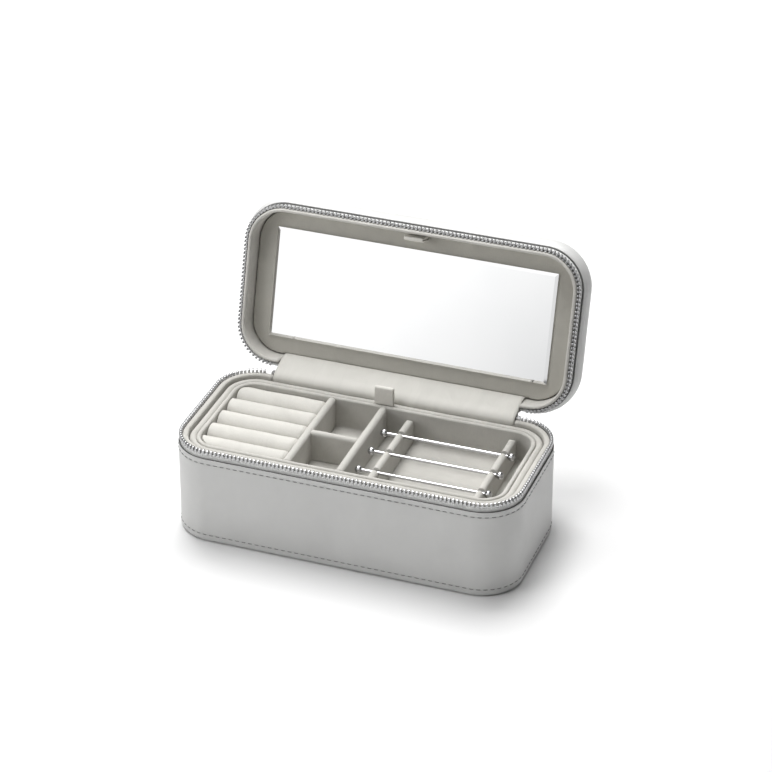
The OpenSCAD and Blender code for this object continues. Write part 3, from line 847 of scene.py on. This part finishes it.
def loop_tab(name, node, opened, body, curl):
    """A pull tab: a ribbon folded into a flat loop, its fold at the free end and a slight curl."""
    low, high = box_of(node, opened)
    root, tip = (high.z, low.z) if opened else (low.z, high.z)
    length, half, cloth = abs(tip - root), (high.y - low.y) / 2, 0.75 * MM
    middle_y, way = (low.y + high.y) / 2, 1 if tip > root else -1
    outline = even([Vector((-half, 0)), *arc((0, length - half), half, 180, 0, 10), Vector((half, 0)),
                    Vector((half - cloth, 0)), *arc((0, length - half), half - cloth, 0, 180, 8),
                    Vector((-half + cloth, 0))], 1 * MM)
    # share of the width, and how full the section is there: both side edges are thinner
    spans = [(0.0, 0.5), (0.015, 0.9), (0.05, 1.0), *[(0.05 + 0.9 * k / 12, 1.0) for k in range(1, 13)],
             (0.985, 0.9), (1.0, 0.5)]
    verts = []
    for share, full in spans:
        x = low.x + (high.x - low.x) * share
        inset = (1 - full) * cloth * 0.5
        for p in outline:
            swell = 0.25 * MM * math.sin(math.pi * min(1.0, p.y / length))
            v = p.x + (swell if p.x > 0 else -swell) * 0.7
            v += -inset if v > 0 else inset
            v += curl * (p.y / length) ** 2 + 0.1 * MM * bumpy((x, p.y, 0), 6 * MM)
            along = p.y - (inset if p.y > length * 0.9 else 0)
            verts.append(Vector((x, middle_y + v, root + way * along)))
    obj = piece(name, verts, tube_faces(len(spans), len(outline)), TAB_CLOTH, body=body,
                slot="velvet_lining", opened=opened, replaces=[node])


def ribbon(name, path, half_x, thickness, wave, material, slot, replaces):
    """A sheet along X whose section follows a path in Y and Z, running over the hinge from the base to the
    lid.
    """
    line, columns, thin_edge = smooth_line(path, 10), 76, 1.2 * MM
    count = len(line)
    normals, lengths = [], [0.0]
    for k in range(count):
        along = line[min(k + 1, count - 1)] - line[max(k - 1, 0)]
        normals.append(Vector((-along.y, along.x)).normalized())
    for a, b in zip(line, line[1:]):
        lengths.append(lengths[-1] + (b - a).length)
    verts, faces, uvs = [], [], []
    for side in (0.5, -0.5):
        for i in range(columns + 1):
            x = -half_x + 2 * half_x * i / columns
            edge = min(1.0, (half_x - abs(x)) / thin_edge)
            for p, normal, s in zip(line, normals, lengths):
                uneven = bumpy((x, s * 1.5, 0), 30 * MM) + 0.35 * bumpy((x, s, 9), 9 * MM)
                lift = wave * math.sin(math.pi * s / lengths[-1]) * uneven
                q = p + normal * (side * thickness * (0.45 + 0.55 * edge) + lift)
                verts.append(Vector((x, q.x, q.y)))
                uvs.append((s, x + half_x))
    sheet = (columns + 1) * count
    for i in range(columns):
        for k in range(count - 1):
            a = i * count + k
            faces.append((a, a + 1, a + 1 + count, a + count))
            faces.append((sheet + a, sheet + a + count, sheet + a + 1 + count, sheet + a + 1))
        for a in (i * count, i * count + count - 1):
            faces.append((a, a + count, sheet + a + count, sheet + a))
    for k in range(count - 1):
        for a in (k, columns * count + k):
            faces.append((a, sheet + a, sheet + a + 1, a + 1))
    obj = piece(name, verts, faces, material, slot=slot, replaces=replaces, uvs=uvs)
    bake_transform(obj)


def smooth_line(path, parts):
    """A Catmull-Rom curve through 2-D points."""
    points = [Vector(p) for p in path]
    points = [points[0] * 2 - points[1]] + points + [points[-1] * 2 - points[-2]]
    made = []
    for a, b, c, d in zip(points, points[1:], points[2:], points[3:]):
        square, cube = 2 * a - 5 * b + 4 * c - d, 3 * b - a - 3 * c + d
        for k in range(parts):
            t = k / parts
            made.append(0.5 * (2 * b + (c - a) * t + square * t**2 + cube * t**3))
    return made + [points[-2]]


def from_hinge(points):
    """Points (y, z) given in mm from the hinge's axis, in metres."""
    return [(HINGE_AT.y + y * MM, HINGE_AT.z + z * MM) for y, z in points]


def on_lid(points):
    """Points (y, z) given in mm on the shut lid, where they are when it is open."""
    return [tuple((OPENED @ Vector((0, y * MM, z * MM))).yz) for y, z in points]


def hinge_sheets():
    """The leather strip on the outside of the hinge and the cloth one inside."""
    strip = from_hinge([(-2.55, -6.2), (-2.1, -4.2), (-1.1, -2.6), (-0.85, -1.2), (-0.7, 0.0), (-0.3, 0.85),
                        (0.4, 1.3), (1.3, 1.15), (2.5, 0.6), (4.0, 0.1)])
    ribbon("hinge_leather_strip", strip + on_lid([(49.2, 67.6), (48.45, 70.6)]), HINGE_HALF, 0.8 * MM,
           0.08 * MM, HINGE_LEATHER, "outer_leather", ["hinge_strip_base", "hinge_strip_lid"])
    cloth = from_hinge([(-6.2, -6.0), (-6.35, -2.6), (-5.6, -0.6), (-3.6, 0.95), (0.0, 2.15), (4.6, 3.5)])
    ribbon("hinge_cloth_sheet", cloth + on_lid([(44.2, 69.0), (43.3, 72.6), (43.55, 74.9)]),
           HINGE_HALF - 0.4 * MM, 0.55 * MM, 0.22 * MM, HINGE_CLOTH, "hinge_fabric",
           ["hinge_lining_base", "hinge_lining_lid"])


# ---------------------------------------------------------------- lid
def lid_leather():
    """Padded leather shell of the lid, its edge turned in at the mouth."""
    mouth, top, bulge, t = 68.7 * MM, 84.5 * MM, 2.1 * MM, LEATHER_T
    outer = [(-0.55 * MM, mouth), (-0.1 * MM, mouth + 0.25 * MM), (0.25 * bulge, mouth + 0.9 * MM),
             (0.67 * bulge, mouth + 2.8 * MM), (0.9 * bulge, mouth + 5.3 * MM), (bulge, mouth + 7.8 * MM),
             (0.9 * bulge, top - 5.5 * MM), (0.57 * bulge, top - 3.3 * MM), (-0.2 * MM, top - 1.5 * MM),
             (-2.2 * MM, top - 0.4 * MM), (-4.6 * MM, top), (-9 * MM, top)]
    inner = [(-9 * MM, top - t), (-4.8 * MM, top - t), (-2.8 * MM, top - 1.5 * MM),
             (-1.2 * MM, top - 2.4 * MM), (0.57 * bulge - t, top - 3.9 * MM),
             (0.9 * bulge - t, top - 5.7 * MM), (bulge - t, mouth + 7.8 * MM),
             (0.9 * bulge - t, mouth + 5.5 * MM), (0.67 * bulge - t, mouth + 3.5 * MM),
             (-0.6 * MM, mouth + 1.7 * MM), (-1.15 * MM, mouth + 0.6 * MM), (-1.05 * MM, mouth + 0.1 * MM)]

    def change(out, z, place):
        if out > 0.2 * MM and z > mouth + 1 * MM:
            out += 0.2 * MM * bumpy((place[4], z, 5), 30 * MM) * min(1.0, (z - mouth) / (5 * MM))
        return out, z

    shell = plate("lid_leather_shell", smooth_line(inner, 2) + smooth_line(outer, 4),
                  stations(1.5 * MM, 32), LEATHER, steps=16, lift=(0, 0.5 * MM), change=change, body="lid",
                  slot="outer_leather", opened=True, replaces=["lid_leather"])
    shut = OPENED.inverted()
    # the mouth edge is painted near-black, as painted shade for the gap beside the zip tape
    paint_gap_shade(shell, lambda p: (shut @ p).z < mouth + 0.25 * MM)


def lid_lining():
    """Velvet lining of the lid: soft rim, recess wall and back."""
    low, high = closed_box("lid_lining")
    cut, floor, roll = 69.45 * MM, high.z - 0.85 * MM, 1.02 * MM
    inside = [(-6.5 * MM, floor), (-5.5 * MM, floor), (-5.3 * MM, 75 * MM), (-5.15 * MM, 69 * MM),
              (-5.05 * MM, low.z + 1.3 * MM)]
    outside = [(-3 * MM, 66.1 * MM), (-2.1 * MM, 66.4 * MM), (-2.1 * MM, cut), (-3.7 * MM, cut + 0.05 * MM),
               (-3.7 * MM, high.z)]
    profile = [*map(Vector, inside), *arc((-4.02 * MM, low.z + roll), roll, 180, 360, 14),
               *map(Vector, outside)]

    def change(out, z, place):
        if behind(out, place):
            return out, max(z, cut)
        if z < cut:
            z += 0.1 * MM * bumpy((place[4], z, out), 15 * MM)
            out -= 0.08 * MM * abs(bumpy((place[4], z, 4), 17 * MM))
        return out, z

    plate("lid_lining_velvet", even(profile, 2.5 * MM, closed=False), with_step(stations(2 * MM, 24)),
          LID_VELVET, change=change, body="lid", slot="velvet_lining", opened=True,
          replaces=["lid_lining"])


def soften_edges(width, *names):
    """Rounded, polished edges on a hard piece."""
    for name in names:
        bevel = nodes[name].modifiers.new("edges", "BEVEL")
        bevel.width = width
        bevel.segments = 3
        bevel.limit_method = "ANGLE"
        bevel.angle_limit = math.radians(35)


def paint(material, *names):
    for name in names:
        data = nodes[name].data
        data.materials.clear()
        data.materials.append(material)


base_leather()
stitches("stitch_row_top", ROW_TOP, 0.02 * MM)
stitches("stitch_row_bottom", ROW_BOTTOM, -0.02 * MM)
base_lining()
base_ledge()
base_floor_pad()
teeth("zip_teeth_base", 0, False, "base")
teeth("zip_teeth_lid", TOOTH_PITCH / 2, True, "lid")
zip_tape("zip_tape_base", False, "base")
zip_tape("zip_tape_lid", True, "lid")
softened("zip_tail", "zip_tail_woven", TAPE, 0.16 * MM, 3, body="base")
tray_shell()
tray_insert()
for number in range(1, 6):
    ring_roll(number)
softened("ring_pad", "ring_pad_velvet", VELVET, 0.8 * MM, 3, 0.1 * MM, "tray")
for divider in ("divider_left", "divider_cross", "divider_middle"):
    softened(divider, f"{divider}_velvet", VELVET, 0.42 * MM, 4, 0.12 * MM, "tray",
             0.35 * MM)
for rest in ("bar_rest_left", "bar_rest_right"):
    softened(rest, f"{rest}_velvet", VELVET, 0.36 * MM, 5, 0.12 * MM, "tray")
loop_tab("tray_tab_loop", "tray_pull_tab", False, "tray_tab", 0.3 * MM)
lid_leather()
lid_lining()
softened("mirror_panel", "mirror_panel_velvet", PANEL_VELVET, 0.55 * MM, 3,
         body="mirror_flap")
loop_tab("mirror_tab_loop", "mirror_pull_tab", True, "mirror_flap", -0.8 * MM)
hinge_sheets()

paint(LEATHER, "base_bottom")
paint(CARD, "base_floor_board", "base_wall_board", "lid_wall_board", "lid_top_board")
paint(FOAM, "lid_pad")
paint(MIRROR, "mirror_glass")
paint(BAR_METAL, *[f"charm_bar_{i}" for i in (1, 2, 3)], *[f"bar_ball_{i}" for i in (1, 2, 3)])
paint(ZIP_METAL, "zip_end_stops", "zip_slider", "zip_pull")
soften_edges(0.3 * MM, "zip_end_stops", "zip_slider", "zip_pull")
soften_edges(0.35 * MM, "base_bottom")


# ---------------------------------------------------------------- stage, light and camera
def stage_mesh(name, verts, faces, material):
    mesh = bpy.data.meshes.new(name)
    mesh.from_pydata(verts, [], faces)
    mesh.materials.append(material)
    obj = bpy.data.objects.new(name, mesh)
    bpy.context.scene.collection.objects.link(obj)
    return obj


def floor():
    s = Shader("floor", Specular_IOR_Level=0.0, Roughness=1.0)
    s.colour(s.noise(3, 2), (0.80, 0.80, 0.80), (0.81, 0.81, 0.81))
    half = 6.0
    corners = [(-half, -half, 0), (half, -half, 0), (half, half, 0), (-half, half, 0)]
    stage_mesh("floor", corners, [(0, 1, 2, 3)], s.mat)


def soft_box(name, place, target, width, height, power):
    """A rectangular light that faces its target."""
    light = bpy.data.lights.new(name, "AREA")
    light.shape = "RECTANGLE"
    light.size, light.size_y, light.energy = width, height, power
    obj = bpy.data.objects.new(name, light)
    obj.location = place
    obj.rotation_euler = (Vector(target) - Vector(place)).to_track_quat("-Z", "Y").to_euler()
    bpy.context.scene.collection.objects.link(obj)


def world(level, overhead):
    """A dim studio, brighter overhead than at eye level."""
    made = bpy.data.worlds.new("studio")
    bpy.context.scene.world = made
    made.use_nodes = True
    tree = made.node_tree
    back = tree.nodes["Background"]
    coords = tree.nodes.new("ShaderNodeTexCoord")
    split = tree.nodes.new("ShaderNodeSeparateXYZ")
    ramp = tree.nodes.new("ShaderNodeValToRGB")
    ramp.color_ramp.elements[0].position = 0.1
    ramp.color_ramp.elements[0].color = (level, level, level, 1)
    ramp.color_ramp.elements[1].position = 0.8
    ramp.color_ramp.elements[1].color = (overhead, overhead, overhead, 1)
    tree.links.new(coords.outputs["Generated"], split.inputs["Vector"])
    tree.links.new(split.outputs["Z"], ramp.inputs["Fac"])
    tree.links.new(ramp.outputs["Color"], back.inputs["Color"])
    back.inputs["Strength"].default_value = 1.0


def front_card():
    """A big pale card in front and overhead, which the mirror reflects: white, greying to its lower right."""
    s = Shader("front_card")
    split = s.node("ShaderNodeSeparateXYZ")
    s.link(s.coords, split.inputs["Vector"])
    place = s.maths("ADD", s.maths("MULTIPLY", split.outputs["X"], -1.0), split.outputs["Z"])
    glow = s.node("ShaderNodeEmission")
    s.link(s.ramp(place, [(0.62, (0.77,) * 3), (0.95, (1.08,) * 3)]), glow.inputs["Color"])
    s.link(glow.outputs["Emission"], s.tree.nodes["Material Output"].inputs["Surface"])
    s.tree.nodes.remove(s.bsdf)
    left, right, near, height, over = -1.45, 2.4, -2.45, 2.4, -0.4
    corners = [(left, near, 0), (right, near, 0), (right, near, height), (left, near, height),
               (right, over, height), (left, over, height)]
    obj = stage_mesh("front_card", corners, [(0, 1, 2, 3), (3, 2, 4, 5)], s.mat)
    obj.visible_camera = False
    obj.visible_diffuse = False


def camera():
    """The photograph's viewing angle."""
    azimuth, elevation = math.radians(20.06), math.radians(30.55)
    away, target = 1.7567, Vector((-0.0174, 0.0817, 0.045))
    back = Vector((math.sin(azimuth) * math.cos(elevation), -math.cos(azimuth) * math.cos(elevation),
                   math.sin(elevation)))
    data = bpy.data.cameras.new("camera")
    data.sensor_width, data.lens = 36, 135.4
    data.clip_start, data.clip_end = 0.05, 30
    obj = bpy.data.objects.new("camera", data)
    obj.location = target + back * away
    obj.rotation_euler = (-back).to_track_quat("-Z", "Y").to_euler()
    bpy.context.scene.collection.objects.link(obj)
    bpy.context.scene.camera = obj


floor()
front_card()
soft_box("back_light", (-0.22, 0.56, 1.25), (0, 0.05, 0.05), 1.0, 0.8, 21)
soft_box("top_light", (-0.2, -0.02, 1.4), (0, 0.05, 0.05), 0.6, 0.5, 8.5)
soft_box("left_fill", (-0.75, -0.75, 0.55), (0, 0, 0.05), 0.5, 0.5, 3.2)
world(0.08, 0.18)
camera()
bpy.context.scene.view_settings.view_transform = "Standard"
